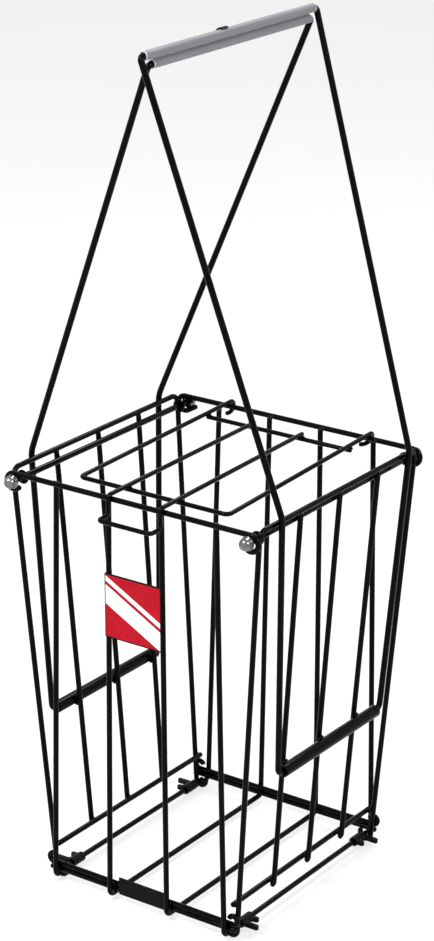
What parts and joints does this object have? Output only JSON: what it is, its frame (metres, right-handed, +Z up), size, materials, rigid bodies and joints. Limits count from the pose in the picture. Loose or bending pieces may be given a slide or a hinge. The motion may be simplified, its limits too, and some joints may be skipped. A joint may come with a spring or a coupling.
{
  "type": "tennis ball hopper",
  "caption": "Tapered wire tennis ball basket with a hinged lid and two long bail handles with grey grips that swing down to become its legs.",
  "frame": {"origin": "on the ground under the centre of the part's box, as the hopper stands on its hook feet with the handles up", "axes": "+Z up, +X along the front with the lift tab and the sign, towards the right of a person who faces the front, +Y from the front to the back, where the lid hinges"},
  "size_m": [0.2669, 0.2754, 0.752],
  "materials": {
    "coated_wire": "gloss",
    "chrome": "polished",
    "black_plastic": "matte",
    "grey_vinyl": "gloss",
    "red_plate": "gloss"
  },
  "bodies": {
    "basket": {"axle_left": "coated_wire", "axle_right": "coated_wire", "bottom_bar_back": "coated_wire", "bottom_bar_front": "coated_wire", "cap_nut_back_left": "chrome", "cap_nut_back_right": "chrome", "cap_nut_front_left": "chrome", "cap_nut_front_right": "chrome", "grid_wire_left": "coated_wire", "grid_wire_right": "coated_wire", "leg_clip_back_left": "black_plastic", "leg_clip_back_right": "black_plastic", "leg_clip_front_left": "black_plastic", "leg_clip_front_right": "black_plastic", "lower_rod_left": "coated_wire", "lower_rod_right": "coated_wire", "outer_bar_back_left": "coated_wire", "outer_bar_back_right": "coated_wire", "outer_bar_front_left": "coated_wire", "outer_bar_front_right": "coated_wire", "pivot_tube_left": "coated_wire", "pivot_tube_right": "coated_wire", "rim_wire_back": "coated_wire", "rim_wire_front": "coated_wire", "ring_bar_back": "coated_wire", "ring_bar_front": "coated_wire", "side_bar_left_back": "coated_wire", "side_bar_left_front": "coated_wire", "side_bar_left_middle": "coated_wire", "side_bar_right_back": "coated_wire", "side_bar_right_front": "coated_wire", "side_bar_right_middle": "coated_wire", "side_frame_left": "coated_wire", "side_frame_right": "coated_wire", "side_rail_left": "coated_wire", "side_rail_right": "coated_wire", "sign_plate": "red_plate", "strip_plate": "black_plastic", "washer_back_left": "coated_wire", "washer_back_right": "coated_wire", "washer_front_left": "coated_wire", "washer_front_right": "coated_wire"},
    "handle_left": {"grip_sleeve_left": "grey_vinyl", "handle_wire_left": "coated_wire"},
    "handle_right": {"grip_clip": "black_plastic", "grip_sleeve_right": "grey_vinyl", "handle_wire_right": "coated_wire"},
    "lid": {"lid_cross_wire": "coated_wire", "lid_frame_wire": "coated_wire", "lid_tab_wire": "coated_wire"}
  },
  "joints": [
    {"name": "right_handle_swing", "type": "hinge", "parent": "basket", "child": "handle_right", "pos_m": [0.11563, 0.00455, 0.147], "axis": [0, 1, 0], "range_deg": [0, 182.6]},
    {"name": "left_handle_swing", "type": "hinge", "parent": "basket", "child": "handle_left", "pos_m": [-0.11563, 0.00455, 0.147], "axis": [0, -1, 0], "range_deg": [0, 182.6]},
    {"name": "lid_hinge", "type": "hinge", "parent": "basket", "child": "lid", "pos_m": [0, 0.12645, 0.37798], "axis": [-1, 0, 0], "range_deg": [0, 80]}
  ]
}
